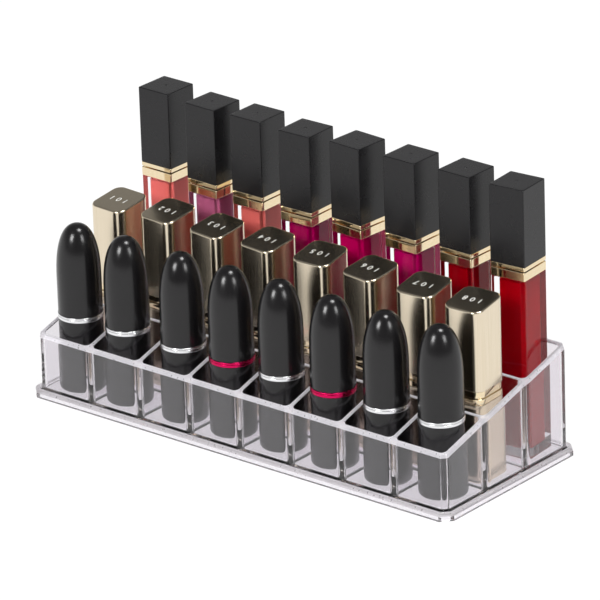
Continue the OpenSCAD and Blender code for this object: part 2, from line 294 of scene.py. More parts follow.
# A chamfer grows by this for each millimetre that its two sides move out
chamfer_growth = 2 - sqrt(2)
top_chamfer = wall_chamfer - outer_bevel_w * chamfer_growth
points, faces = [], []
count = 4 * (corner_steps + 1)
ring = np.arange(count)
half_way = corner_steps // 2
step_in_corner = np.tile(np.arange(corner_steps + 1), 4)
chamfer_share = np.clip((step_in_corner - 1) / (corner_steps - 2), 0, 1)
chamfer_share = np.where(sign_x * sign_y > 0, chamfer_share, 1 - chamfer_share)
for column in columns:
    for row in rows_of_pockets:
        centre_x = (column - half_columns - 0.5) * pitch_x
        centre_y = (row - half_rows + 0.5) * pitch_y
        first = sum(len(p) for p in points)
        rim_x, rim_y = pocket_row(inner_bevel_w, centre_x, centre_y)
        left = -top_x if column == columns[0] else centre_x - pitch_x / 2
        right = top_x if column == columns[-1] else centre_x + pitch_x / 2
        near = -top_y if row == rows_of_pockets[0] else centre_y - pitch_y / 2
        far = top_y if row == rows_of_pockets[-1] else centre_y + pitch_y / 2
        edge_x = np.where(sign_x > 0, right, left)
        edge_y = np.where(sign_y > 0, far, near)
        to_end = np.where(sign_x * sign_y > 0, step_in_corner <= half_way, step_in_corner >= half_way)
        to_side = np.where(sign_x * sign_y > 0, step_in_corner >= half_way, step_in_corner <= half_way)
        x = np.where(to_end, edge_x, rim_x)
        y = np.where(to_side, edge_y, rim_y)
        at_corner = (np.abs(edge_x) > top_x - tiny) & (np.abs(edge_y) > top_y - tiny)
        on_chamfer = at_corner & (step_in_corner > 0) & (step_in_corner < corner_steps)
        x = np.where(on_chamfer, sign_x * (top_x - chamfer_share * top_chamfer), x)
        y = np.where(on_chamfer, sign_y * (top_y - (1 - chamfer_share) * top_chamfer), y)
        rows = [np.stack([x, y, wall_top(y)], 1)]
        for out, drop in pocket_profile:
            x, y = pocket_row(out, centre_x, centre_y)
            rows.append(np.stack([x, y, wall_top(y) + drop], 1))
        for out, rise in wall_foot[1:-1]:
            x, y = pocket_row(out, centre_x, centre_y)
            rows.append(np.stack([x, y, 0 * x + base_h + rise], 1))
        points += [*rows, np.array([[centre_x, centre_y, base_h]])]
        for k in range(len(rows) - 1):
            low = first + k * count + ring
            faces.append(np.stack([low, np.roll(low, -1), np.roll(low, -1) + count, low + count], 1))
        low = first + (len(rows) - 1) * count + ring
        faces.append(np.stack([low, np.roll(low, -1), 0 * low + first + len(rows) * count], 1))
points = np.concatenate(points)

# The outside: from the outline of that flat top over the outer bevel, down to the flange and its
# bevelled lip, under the rim, and up into the hollow underside, which closes at its middle
x, y = np.abs(points[:, 0]), np.abs(points[:, 1])
on_outline = (points[:, 2] > base_h + front_h - weld) & (
    (x > top_x - tiny) | (y > top_y - tiny) | (x + y > top_x + top_y - top_chamfer - tiny))
outline = np.unique(np.round(points[on_outline], 6), axis=0)
outline = outline[np.argsort(np.arctan2(outline[:, 1], outline[:, 0]))]
count = len(outline)
slope_foot = flange_out - flange_slope_w
rim_inside = flange_out - rim_w
foot = filleted([(0, run), (0, 0, foot_fillet), (slope_foot, 0, flange_slope_edge),
                 (flange_out, -flange_slope_h, flange_edge), (flange_out, -base_h, flange_edge),
                 (rim_inside, -base_h, flange_edge), (rim_inside, -floor_t, flange_edge),
                 (0, -floor_t)], steps=3)
bevel = filleted([(-outer_bevel_w, 0), (-outer_bevel_w + outer_lip_w, -outer_lip_h, outer_lip_edge),
                  (0, -outer_bevel_h, outer_bevel_edge), (0, -outer_bevel_h - run)], steps=3)
rows = []
for out, drop in bevel[1:-1]:
    chamfer = wall_chamfer + out * chamfer_growth
    place = octagon(outline[:, :2], body_half_x + out, body_half_y + out, chamfer, top_x, top_y, top_chamfer)
    rows.append(np.column_stack([place, outline[:, 2] + drop]))
for out, rise in foot[1:-1]:
    chamfer = wall_chamfer + (flange_chamfer - wall_chamfer) * max(out, 0) / flange_out
    place = octagon(outline[:, :2], body_half_x + out, body_half_y + out, chamfer, top_x, top_y, top_chamfer)
    rows.append(np.column_stack([place, 0 * outline[:, 2] + base_h + rise]))
first = len(points)
points = np.concatenate([points, outline, *rows, [[0, 0, base_h - floor_t]]])
ring = np.arange(count)
for k in range(len(rows)):
    low = first + k * count + ring
    faces.append(np.stack([low, np.roll(low, -1), np.roll(low, -1) + count, low + count], 1))
low = first + len(rows) * count + ring
faces.append(np.stack([low, np.roll(low, -1), 0 * low + len(points) - 1], 1))

mesh = bpy.data.meshes.new("clear_tray")
mesh.from_pydata(points * MM, [], [face for group in faces for face in group.tolist()])
joined = bmesh.new()
joined.from_mesh(mesh)
bmesh.ops.remove_doubles(joined, verts=joined.verts, dist=weld * MM)
bmesh.ops.recalc_face_normals(joined, faces=joined.faces)
joined.to_mesh(mesh)
joined.free()


def clear_in_shadow(tree, surface, tint_hex):
    """Finish a clear plastic. Every ray meets its surface but a shadow ray, which goes straight
    through and takes on the tint."""
    path = add_node(tree, "ShaderNodeLightPath")
    window = add_node(tree, "ShaderNodeBsdfTransparent", {"Color": linear(tint_hex)})
    both = add_node(tree, "ShaderNodeMixShader", {
        0: path.outputs["Is Shadow Ray"], 1: surface.outputs[0], 2: window.outputs[0]})
    add_node(tree, "ShaderNodeOutputMaterial", {"Surface": both.outputs[0]})


# Crystal polystyrene from a polished mould: clear and glossy, with a trace of haze and a faint
# ripple where the melt flowed
crystal_polystyrene, tree = new_material("crystal_polystyrene")
place = add_node(tree, "ShaderNodeTexCoord")
flow = add_node(tree, "ShaderNodeTexNoise", {"Vector": place.outputs["Object"], "Scale": 60, "Detail": 1})
ripple = add_node(tree, "ShaderNodeBump", {
    "Height": flow.outputs[0], "Strength": 0.25, "Distance": 0.1 * MM})
haze = add_node(tree, "ShaderNodeMapRange", {"Value": flow.outputs[0], "To Min": 0.02, "To Max": 0.04})
clear = add_node(tree, "ShaderNodeBsdfPrincipled", {
    "Base Color": linear("F0EDF1"), "Roughness": haze.outputs[0], "IOR": 1.57,
    "Transmission Weight": 1.0, "Normal": ripple.outputs[0]})
clear_in_shadow(tree, clear, "F2F1F6")

# The wall tops and the flange lie on the mould's parting and gate side, where its steel is spark
# eroded, so the plastic is a little frosted there. The thick flange gets a greyer copy of that
# frost, whose grey is painted shade.
frosted_materials = []
for name, hex_value in (("frosted_polystyrene", "E8E5EB"), ("frosted_flange_painted_shade", "BDB8BC")):
    material, tree = new_material(name)
    place = add_node(tree, "ShaderNodeTexCoord")
    grain = add_node(tree, "ShaderNodeTexNoise", {
        "Vector": place.outputs["Object"], "Scale": 900, "Detail": 3})
    frost = add_node(tree, "ShaderNodeMapRange", {
        "Value": grain.outputs[0], "From Min": 0.3, "From Max": 0.7, "To Min": 0.25, "To Max": 0.45})
    matt = add_node(tree, "ShaderNodeBump", {
        "Height": grain.outputs[0], "Strength": 0.1, "Distance": 0.05 * MM})
    cloudy = add_node(tree, "ShaderNodeBsdfPrincipled", {
        "Base Color": linear(hex_value), "Roughness": frost.outputs[0], "IOR": 1.57,
        "Transmission Weight": 0.6, "Normal": matt.outputs[0]})
    clear_in_shadow(tree, cloudy, "F2F1F6")
    frosted_materials.append(material)

for material in (crystal_polystyrene, *frosted_materials):
    mesh.materials.append(material)
# Frosted are the faces that look up from near or above the lowest wall top, and those that look up
# past the fillet at the walls' foot. A face's rise is how far its direction points up, from -1 to 1.
middles, facing = np.zeros(3 * len(mesh.polygons)), np.zeros(3 * len(mesh.polygons))
mesh.polygons.foreach_get("center", middles)
mesh.polygons.foreach_get("normal", facing)
middles = middles.reshape(-1, 3) / MM
rise = facing[2::3]
on_top = (middles[:, 2] > base_h + front_h - frosted_top_h) & (rise > least_top_rise)
past_end = np.abs(middles[:, 0]) - body_half_x
past_front = np.abs(middles[:, 1]) - body_half_y
past_corner = (past_end + past_front + wall_chamfer) / sqrt(2)
past_wall = np.max([past_end, past_front, past_corner], axis=0)
on_flange = (past_wall > foot_fillet) & (rise > least_flange_rise)
mesh.polygons.foreach_set("material_index", (on_top + 2 * on_flange).astype(np.int32))
mesh.shade_smooth()
mesh.set_sharp_from_angle(angle=radians(sharp_angle))
tray = bpy.data.objects.new("clear_tray", mesh)
bpy.context.collection.objects.link(tray)
normals = tray.modifiers.new("flat_faces_stay_flat", "WEIGHTED_NORMAL")
normals.keep_sharp = True
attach(tray, "tray")
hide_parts("tray")


# Round lipsticks: a base and a domed cap of satin black moulded plastic, and between them a
# polished ring with one fine groove. The base turns to raise the wax in its metal tube.
def round_rows(profile, around=96):
    """A profile of (radius, z) turned about the vertical axis: one circle of points for each step."""
    angle = (np.arange(around) + 0.5) * 2 * pi / around
    radius, z = profile[:, :1], profile[:, 1:2]
    return np.stack([radius * np.cos(angle), radius * np.sin(angle), z + 0 * angle], -1)


def swept(name, rows, closed=False):
    """Mesh whose row k is the piece's outline at step k of its profile. Each row joins the next with
    four-sided faces, a row whose points all meet is one pole, closed joins the last row to the
    first, and the faces are turned outwards by the sign of the volume they enclose."""
    count, around = rows.shape[:2]
    is_pole = np.ptp(rows, axis=1).max(axis=1) < tiny
    start = np.concatenate([[0], np.cumsum(np.where(is_pole, 1, around))])
    index = start[:-1, None] + np.where(is_pole[:, None], 0, np.arange(around))
    points = np.concatenate([row[:1] if pole else row for row, pole in zip(rows, is_pole)])
    faces = []
    volume = 0
    for k in range(count if closed else count - 1):
        low, high = index[k], index[(k + 1) % count]
        low_next, high_next = np.roll(low, -1), np.roll(high, -1)
        if is_pole[k]:
            face = np.stack([low, high_next, high], 1)
        elif is_pole[(k + 1) % count]:
            face = np.stack([low, low_next, high], 1)
        else:
            face = np.stack([low, low_next, high_next, high], 1)
        for j in range(1, face.shape[1] - 1):
            a, b, c = points[face[:, 0]], points[face[:, j]], points[face[:, j + 1]]
            volume += np.einsum("ij,ij->", a, np.cross(b, c))
        faces.append(face)
    turned = [face if volume > 0 else face[:, ::-1] for face in faces]
    mesh = bpy.data.meshes.new(name)
    mesh.from_pydata(points, [], [f for face in turned for f in face.tolist()])
    return mesh


def seated(mesh, seat, material, body, node):
    """Finish a piece: place its mesh, which is in millimetres about its own axis, on its seat
    (x, y, z, turn in degrees), give it its material, tie it to its body and hide its CAD node."""
    x, y, z, turn = seat
    place = Matrix.Translation(Vector((x, y, z)) * MM) @ Matrix.Rotation(radians(turn), 4, "Z")
    mesh.transform(place @ Matrix.Scale(MM, 4))
    mesh.materials.append(material)
    mesh.shade_smooth()
    mesh.set_sharp_from_angle(angle=radians(sharp_angle))
    piece = bpy.data.objects.new(mesh.name, mesh)
    bpy.context.collection.objects.link(piece)
    normals = piece.modifiers.new("flat_faces_stay_flat", "WEIGHTED_NORMAL")
    normals.keep_sharp = True
    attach(piece, body)
    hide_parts(node)
    return piece


def seat_of(node, turn=0):
    """Where an item stands: the middle of its node's box, at the foot of it, in millimetres."""
    low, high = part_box(node)
    return ((low.x + high.x) / 2 / MM, (low.y + high.y) / 2 / MM, low.z / MM, turn)


# Satin ABS, moulded in a finely blasted mould: a soft sheen, and a grain too fine to see singly
def satin_plastic(name, dark, light, rough_low, rough_high, ior=1.45):
    material, tree = new_material(name)
    place = add_node(tree, "ShaderNodeTexCoord")
    grain = add_node(tree, "ShaderNodeTexNoise", {
        "Vector": place.outputs["Object"], "Scale": 2600, "Detail": 2})
    cloud = add_node(tree, "ShaderNodeTexNoise", {
        "Vector": place.outputs["Object"], "Scale": 90, "Detail": 3})
    colour = add_node(tree, "ShaderNodeMix", {
        "Factor": cloud.outputs[0], "A": linear(dark), "B": linear(light)}, data_type="RGBA")
    rough = add_node(tree, "ShaderNodeMapRange", {
        "Value": cloud.outputs[0], "From Min": 0.3, "From Max": 0.7,
        "To Min": rough_low, "To Max": rough_high})
    bump = add_node(tree, "ShaderNodeBump", {
        "Height": grain.outputs[0], "Strength": 0.12, "Distance": 0.02 * MM})
    shell = add_node(tree, "ShaderNodeBsdfPrincipled", {
        "Base Color": colour.outputs["Result"], "Roughness": rough.outputs[0], "IOR": ior,
        "Normal": bump.outputs[0]})
    add_node(tree, "ShaderNodeOutputMaterial", {"Surface": shell.outputs[0]})
    return material


# Polished metal: fine polishing marks that run round the piece
def polished_metal(name, dark, light, rough_low, rough_high, marks=(700, 700, 6000)):
    material, tree = new_material(name)
    place = add_node(tree, "ShaderNodeTexCoord")
    stretch = add_node(tree, "ShaderNodeMapping", {"Vector": place.outputs["Object"], "Scale": marks})
    lines = add_node(tree, "ShaderNodeTexNoise", {"Vector": stretch.outputs[0], "Scale": 1, "Detail": 3})
    colour = add_node(tree, "ShaderNodeMix", {
        "Factor": lines.outputs[0], "A": linear(dark), "B": linear(light)}, data_type="RGBA")
    rough = add_node(tree, "ShaderNodeMapRange", {
        "Value": lines.outputs[0], "From Min": 0.3, "From Max": 0.7,
        "To Min": rough_low, "To Max": rough_high})
    bump = add_node(tree, "ShaderNodeBump", {
        "Height": lines.outputs[0], "Strength": 0.03, "Distance": 0.02 * MM})
    metal = add_node(tree, "ShaderNodeBsdfPrincipled", {
        "Base Color": colour.outputs["Result"], "Metallic": 1.0, "Roughness": rough.outputs[0],
        "Normal": bump.outputs[0]})
    add_node(tree, "ShaderNodeOutputMaterial", {"Surface": metal.outputs[0]})
    return material


# Lipstick wax: opaque and soft, with a little light scattered under a thin oily skin
def lipstick_wax(name, colour_hex):
    material, tree = new_material(name)
    place = add_node(tree, "ShaderNodeTexCoord")
    cloud = add_node(tree, "ShaderNodeTexNoise", {
        "Vector": place.outputs["Object"], "Scale": 300, "Detail": 3})
    shade = add_node(tree, "ShaderNodeHueSaturation", {"Color": linear(colour_hex)})
    value = add_node(tree, "ShaderNodeMapRange", {"Value": cloud.outputs[0], "To Min": 0.85, "To Max": 1.1})
    tree.links.new(value.outputs[0], shade.inputs["Value"])
    bump = add_node(tree, "ShaderNodeBump", {
        "Height": cloud.outputs[0], "Strength": 0.2, "Distance": 0.05 * MM})
    wax = add_node(tree, "ShaderNodeBsdfPrincipled", {
        "Base Color": shade.outputs[0], "Roughness": 0.42, "IOR": 1.45, "Subsurface Weight": 0.15,
        "Subsurface Scale": 0.8 * MM, "Normal": bump.outputs[0]})
    add_node(tree, "ShaderNodeOutputMaterial", {"Surface": wax.outputs[0]})
    return material


bullet_r = 9.6
bullet_base_h = 32.4
bullet_ring_h = 2.2
ring_proud = 0.25
bullet_foot_edge = 1.8
moulded_edge = 0.25
groove_share = 0.62
groove_half_w = 0.15
groove_depth = 0.28
groove_edge = 0.12
groove_root_edge = 0.04
cap_straight_h = 15.9
cap_dome_h = 24
dome_power = 2.4
dome_steps = 40
tip_crowding = 0.9
cap_tip_t = 2.4
cap_rim_edge = 0.3
tube_r = 7.2
tube_wall = 0.9
tube_out = 20
tube_floor = 3
tube_foot_edge = 0.2
tube_rim_edge = 0.4
wax_r = 6
wax_straight_h = 4
wax_edge_shares = [1, 1, 0.985, 0.95]
wax_edge_drops = [2.5, 0.9, 0.3, 0.05]
wax_top_share = 0.9
wax_top_steps = 8
wax_below = 2
wax_slant = 38
carrier_t = 3
carrier_edge = 0.3
fit_gap = 0.1
cap_gap = 0.35
seam = 0.05
crimson_ring_columns = (4, 6)
wax_hexes = ["B3202A", "C9605C", "C4123A", "CF7F8A", "9C3A33", "C4123A", "A82028", "BC8480"]

satin_black = satin_plastic("satin_black_abs", "0E0D0E", "151415", 0.19, 0.25)
silver_ring = polished_metal("polished_aluminium", "DCDCDE", "F4F4F5", 0.2, 0.28)
crimson_ring = polished_metal("crimson_anodised_aluminium", "C2114F", "D81E62", 0.22, 0.3)
tube_metal = polished_metal("champagne_anodised_tube", "D9C9A6", "E9DCBE", 0.16, 0.26)
carrier_plastic = satin_plastic("gold_coloured_polypropylene", "B8985A", "C7A868", 0.3, 0.4)
waxes = [lipstick_wax(f"lipstick_wax_{n}", wax_hexes[n - 1]) for n in columns]


def inner_pieces(kind, n, seat, collar_z):
    """Tube, carrier cup and slanted wax stick, as rounded profiles turned about the axis. The wax
    rises to a plane that slopes along Y, and its circles shrink over that plane to its middle."""
    node = f"{kind}_case_{n}"
    body = f"{kind}_{n}"
    foot_z = tube_floor + seam
    rim_z = collar_z + tube_out
    inner_r = tube_r - tube_wall
    tube = filleted([(tube_r, foot_z, tube_foot_edge), (tube_r, rim_z, tube_rim_edge),
                     (inner_r, rim_z, tube_rim_edge), (inner_r, foot_z, tube_foot_edge)], closed=True)
    seated(swept(f"{kind}_tube_{n}", round_rows(tube), closed=True), seat, tube_metal, body,
           node)
    cup_r = inner_r - fit_gap
    cup_top = foot_z + carrier_t
    cup = filleted([(0, foot_z), (cup_r, foot_z, carrier_edge), (cup_r, cup_top, carrier_edge),
                    (0, cup_top)])
    seated(swept(f"{kind}_carrier_{n}", round_rows(cup)), seat, carrier_plastic, body,
           node)
    wax_z = cup_top + seam
    tip_z = rim_z - wax_below
    slope = tan(radians(wax_slant))
    side = round_rows(np.array([[0, wax_z], [wax_r, wax_z], [wax_r, wax_z + wax_straight_h]]))
    shrink = np.concatenate([wax_edge_shares, np.linspace(wax_top_share, 0, wax_top_steps)])
    drop = np.concatenate([wax_edge_drops, np.zeros(wax_top_steps)])
    top = round_rows(np.stack([wax_r * shrink, 0 * shrink], 1))
    top[..., 2] = tip_z - slope * (wax_r - top[..., 1]) - drop[:, None]
    seated(swept(f"{kind}_wax_{n}", np.concatenate([side, top])), seat, waxes[n - 1], body,
           node)


for n in columns:
    seat = seat_of(f"bullet_case_{n}")
    node = f"bullet_case_{n}"
    body = f"bullet_{n}"
    socket_r = tube_r + fit_gap
    ring_r = bullet_r + ring_proud
    collar_z = bullet_base_h + bullet_ring_h
    base_top = bullet_base_h - seam
    base = filleted([(0, 0), (bullet_r, 0, bullet_foot_edge), (bullet_r, base_top, moulded_edge),
                     (socket_r, base_top), (socket_r, tube_floor), (0, tube_floor)], steps=6)
    seated(swept(f"bullet_base_{n}", round_rows(base)), seat, satin_black, body, node)
    groove_z = bullet_base_h + groove_share * bullet_ring_h
    ring = filleted([
        (socket_r, bullet_base_h), (ring_r, bullet_base_h, moulded_edge),
        (ring_r, groove_z - groove_half_w, groove_edge), (ring_r - groove_depth, groove_z, groove_root_edge),
        (ring_r, groove_z + groove_half_w, groove_edge), (ring_r, collar_z, moulded_edge),
        (socket_r, collar_z)], closed=True)
    ring_metal = crimson_ring if n in crimson_ring_columns else silver_ring
    seated(swept(f"bullet_ring_{n}", round_rows(ring), closed=True), seat, ring_metal, body,
           node)
    inner_pieces("bullet", n, seat, collar_z)

    rise = np.linspace(0, 1, dome_steps + 1) ** tip_crowding * pi / 2
    inner_r = tube_r + cap_gap
    across = np.abs(np.cos(rise)) ** (2 / dome_power)
    along = np.sin(rise) ** (2 / dome_power)
    outer_dome = np.stack([bullet_r * across, cap_straight_h + cap_dome_h * along], 1)
    inner_dome = np.stack([inner_r * across, cap_straight_h + (cap_dome_h - cap_tip_t) * along], 1)
    outer_dome[-1, 0] = inner_dome[-1, 0] = 0
    rim = filleted([(bullet_r, cap_straight_h), (bullet_r, 0, cap_rim_edge), (inner_r, 0, cap_rim_edge),
                    (inner_r, cap_straight_h)])
    cap = np.concatenate([outer_dome[::-1], rim[1:-1], inner_dome])
    cap[:, 1] += collar_z
    seated(swept(f"bullet_cap_{n}_shell", round_rows(cap)), seat, satin_black, f"bullet_cover_{n}",
           f"bullet_cap_{n}")


# Square lipsticks: case and cap of drawn aluminium, brushed and lacquered in champagne, with a
# stepped polished gold collar between them. The cap's top slants up towards the back, and carries
# a plain number.
arc_steps = 11
item_steps = 4 * (arc_steps + 1)


def square_rows(profile, corner):
    """A profile of (half width, z) carried round a square with rounded corners: each corner is a
    quarter circle, whose radius corner gives for every step, and it never passes the half width."""
    half = profile[:, :1]
    radius = np.minimum(np.broadcast_to(np.reshape(corner, (-1, 1)), half.shape), half)
    quarter = np.linspace(0, pi / 2, arc_steps + 1)
    angle = np.concatenate([quarter + side * pi / 2 for side in range(4)])
    sign_x = np.repeat([1, -1, -1, 1], arc_steps + 1)
    sign_y = np.repeat([1, 1, -1, -1], arc_steps + 1)
    x = sign_x * (half - radius) + radius * np.cos(angle)
    y = sign_y * (half - radius) + radius * np.sin(angle)
    return np.stack([x, y, profile[:, 1:2] + 0 * angle], -1)


# Champagne lacquer over brushed aluminium: the brush ran up and down the case, and its lines
# (about 0.3 mm here, coarser than the real ones, to show) break reflections into upright stripes
champagne_metal, tree = new_material("champagne_brushed_aluminium")
place = add_node(tree, "ShaderNodeTexCoord")
stretch = add_node(tree, "ShaderNodeMapping", {"Vector": place.outputs["Object"], "Scale": (3000, 3000, 25)})
lines = add_node(tree, "ShaderNodeTexNoise", {"Vector": stretch.outputs[0], "Scale": 1, "Detail": 2})
colour = add_node(tree, "ShaderNodeMix", {
    "Factor": lines.outputs[0], "A": linear("D9CAB0"), "B": linear("E9DDC8")}, data_type="RGBA")
rough = add_node(tree, "ShaderNodeMapRange", {"Value": lines.outputs[0], "To Min": 0.18, "To Max": 0.25})
bump = add_node(tree, "ShaderNodeBump", {
    "Height": lines.outputs[0], "Strength": 0.05, "Distance": 0.02 * MM})
metal = add_node(tree, "ShaderNodeBsdfPrincipled", {
    "Base Color": colour.outputs["Result"], "Metallic": 1.0, "Roughness": rough.outputs[0],
    "Normal": bump.outputs[0]})
add_node(tree, "ShaderNodeOutputMaterial", {"Surface": metal.outputs[0]})
polished_gold = polished_metal("polished_gold_plate", "DEC594", "F4E7CE", 0.04, 0.1)
grey_ink = satin_plastic("light_grey_ink", "BDBCB6", "CFCEC8", 0.4, 0.5)

square_w = 18.7
square_corner = 4.1
square_base_h = 34.6
band_h = 2.6
step_h = 3.2
step_in = 0.4
square_cap_h = 36.8
top_slant = 8.5
square_cap_wall = 1.3
square_cap_top = 1.8
case_foot_edge = 0.6
drawn_edge = 0.3
socket_lip = 0.3
collar_foot_lip = 0.3
collar_top_lip = 1.2
collar_edge = 0.25
collar_groove_depth = 0.25
collar_groove_h = 0.35
collar_groove_edge = 0.1
step_foot_edge = 0.12
step_top_edge = 0.2
crown_edge = 0.8
inner_crown_edge = 0.6
cap_side_end = 5
least_corner = 0.2
digit_h = 3.0
digit_height_share = 0.7
digit_spread = 1.75
ink_t = 0.02
square_turns = [-4, -4, -6, -5, 3, -6, 3, 3]


def drawn_in_corner(profile):
    """Corner radius at each step of a case's profile: the case's own, less what its side is drawn in."""
    return np.maximum(square_corner - (square_w / 2 - profile[:, 0]), least_corner)


for n in columns:
    seat = seat_of(f"square_case_{n}", square_turns[n - 1])
    node = f"square_case_{n}"
    body = f"square_{n}"
    half = square_w / 2
    socket_r = tube_r + fit_gap
    base_top = square_base_h - seam
    base = filleted([(0, 0), (half, 0, case_foot_edge), (half, base_top, drawn_edge),
                     (socket_r + socket_lip, base_top)])
    socket = np.array([[socket_r, base_top], [socket_r, tube_floor], [0, tube_floor]])
    rows = np.concatenate([square_rows(base, drawn_in_corner(base)), round_rows(socket, item_steps)])
    seated(swept(f"square_base_{n}", rows), seat, champagne_metal, body, node)

    band_z = square_base_h + band_h
    collar_z = band_z + step_h
    inner_half = half - step_in
    groove_half = inner_half - collar_groove_depth
    groove_top = band_z + collar_groove_h
    collar = filleted([
        (half - collar_foot_lip, square_base_h), (half, square_base_h, collar_edge),
        (half, band_z, collar_edge), (groove_half, band_z, collar_groove_edge),
        (groove_half, groove_top, collar_groove_edge), (inner_half, groove_top, step_foot_edge),
        (inner_half, collar_z, step_top_edge), (half - collar_top_lip, collar_z)])
    hole = np.array([[socket_r, collar_z], [socket_r, square_base_h]])
    rows = np.concatenate([square_rows(collar, drawn_in_corner(collar)), round_rows(hole, item_steps)])
    seated(swept(f"square_collar_{n}", rows, closed=True), seat, polished_gold, body,
           node)
    inner_pieces("square", n, seat, collar_z)

    half_rise = half * tan(radians(top_slant))
    inner_top = square_cap_h - half_rise - square_cap_top
    inner_wall = half - square_cap_wall
    upper = filleted([(0, square_cap_h), (half, square_cap_h, crown_edge),
                      (half, square_cap_h - cap_side_end)], steps=6)
    lower = filleted([(half, cap_side_end), (half, 0, drawn_edge), (inner_wall, 0, drawn_edge),
                      (inner_wall, inner_top, inner_crown_edge), (0, inner_top)])
    profile = np.concatenate([upper, lower])
    rows = square_rows(profile, drawn_in_corner(profile))
    rows[:len(upper) - 1, :, 2] += rows[:len(upper) - 1, :, 1] * tan(radians(top_slant))
    rows[..., 2] += collar_z
    seated(swept(f"square_cap_{n}_shell", rows), seat, champagne_metal, f"square_cover_{n}",
           f"square_cap_{n}")

    words = bpy.data.curves.new(f"square_number_{n}", "FONT")
    words.body = str(100 + n)
    words.size = digit_h / digit_height_share
    words.space_character = digit_spread
    words.align_x = "CENTER"
    words.align_y = "CENTER"
    words.extrude = ink_t
    flat = bpy.data.objects.new("flat_number", words)
    bpy.context.collection.objects.link(flat)
    bpy.context.view_layer.update()
    mesh = bpy.data.meshes.new_from_object(flat)
    bpy.data.objects.remove(flat)
    mesh.name = f"square_number_{n}"
    mesh.materials.clear()
    joined = bmesh.new()
    joined.from_mesh(mesh)
    bmesh.ops.remove_doubles(joined, verts=joined.verts, dist=ink_t / 10)
    joined.to_mesh(mesh)
    joined.free()
    mesh.transform(Matrix.Translation((0, 0, collar_z + square_cap_h))
                   @ Matrix.Rotation(radians(top_slant), 4, "X") @ Matrix.Rotation(pi, 4, "Z"))
    seated(mesh, seat, grey_ink, f"square_cover_{n}", f"square_cap_{n}")


# Lip glosses: a square clear bottle with a thick base, the gloss inside it, a polished gold collar,
# and a square satin black cap on a gold ring. The wand with its flocked applicator hangs in the cap.
gloss_turns = [-1, -2, 0, 1, -4, -1, -1, 5]
gloss_w = 16.7
bottle_h = 79.4
bottle_wall = 3.1
bottle_floor = 3.7
shoulder_t = 1
bottle_corner = 0.7
core_corner = 0.8
neck_r = 5
neck_h = 9
gloss_collar_h = 3.9
gloss_gap_h = 0.5
gloss_ring_h = 1.9
gloss_cap_h = 34.1
dimple_r = 0.6
dimple_h = 0.4
wiper_wall = 1
wand_r = 1.6
wand_hold = 8
wand_above = 6
applicator_r = 2.4
applicator_h = 12
applicator_hold = 8
fluid_overlap = 0.06
foot_recess_h = 0.2
foot_recess_in = 1.3
foot_ring_in = 1.0
recess_edge = 0.15
bottle_foot_edge = 0.4
shoulder_edge = 0.3
neck_foot_lip = 0.8
neck_rim_edge = 0.3
core_mouth_in = 0.5
core_top_edge = 0.4
core_foot_edge = 1.0
wiper_edge = 0.2
wiper_mouth_edge = 0.3
band_corner = 0.5
band_edge = 0.2
band_foot_lip = 0.6
band_top_lip = 0.8
gloss_collar_edge = 0.25
fluid_top_gap = 0.3
fluid_top_edge = 0.3
fluid_mouth_lip = 0.5
gloss_cap_corner = 0.45
gloss_cap_top_lip = 2
gloss_cap_top_edge = 0.35
gloss_cap_foot_edge = 0.25
gloss_cap_mouth_lip = 0.6
dimple_floor_share = 0.6
dimple_floor_edge = 0.2
dimple_rim_edge = 0.08
dimple_rim_lip = 0.3
wand_edge = 0.3
wand_steps = 32
applicator_edge = 0.6
applicator_tip_h = 6
applicator_tip_steps = 8

gloss_finishes = [
    ("coral_pink", "EE6F69"), ("orchid", "B45C80"), ("coral", "E06B64"), ("plum", "A0004C"),
    ("magenta", "BA0052"), ("fuchsia", "B20057"), ("deep_red", "90000C"), ("red", "9C000C"),
]

# Clear PETG with polished faces. Its reflections are tinted down to a fifth, because hardly any
# glare lies over the gloss on the real bottles.
bottle_plastic, tree = new_material("clear_petg")
place = add_node(tree, "ShaderNodeTexCoord")
flow = add_node(tree, "ShaderNodeTexNoise", {"Vector": place.outputs["Object"], "Scale": 90, "Detail": 1})
haze = add_node(tree, "ShaderNodeMapRange", {"Value": flow.outputs[0], "To Min": 0.02, "To Max": 0.03})
clear = add_node(tree, "ShaderNodeBsdfPrincipled", {
    "Base Color": linear("FCFBFC"), "Roughness": haze.outputs[0], "IOR": 1.5,
    "Specular Tint": (0.2, 0.2, 0.2, 1), "Transmission Weight": 1.0})
clear_in_shadow(tree, clear, "F4F3F5")

cap_black = satin_plastic("satin_black_cap", "0C0B0D", "121113", 0.24, 0.3, ior=1.4)
wiper_plastic = satin_plastic("white_polyethylene", "E2E0DC", "EEECE8", 0.35, 0.45)
wand_plastic = satin_plastic("clear_frosted_wand", "D8D6D4", "E6E4E2", 0.3, 0.4)

# Nylon flock: short fibres that stand up from the applicator, so that it looks soft and matt
flocked_nylon, tree = new_material("flocked_nylon")
place = add_node(tree, "ShaderNodeTexCoord")
fibre = add_node(tree, "ShaderNodeTexNoise", {"Vector": place.outputs["Object"], "Scale": 5000, "Detail": 2})
colour = add_node(tree, "ShaderNodeMix", {
    "Factor": fibre.outputs[0], "A": linear("B9A9A6"), "B": linear("E4D8D5")}, data_type="RGBA")
bump = add_node(tree, "ShaderNodeBump", {"Height": fibre.outputs[0], "Strength": 0.6, "Distance": 0.1 * MM})
flock = add_node(tree, "ShaderNodeBsdfPrincipled", {
    "Base Color": colour.outputs["Result"], "Roughness": 0.9, "Sheen Weight": 0.5,
    "Normal": bump.outputs[0]})
add_node(tree, "ShaderNodeOutputMaterial", {"Surface": flock.outputs[0]})

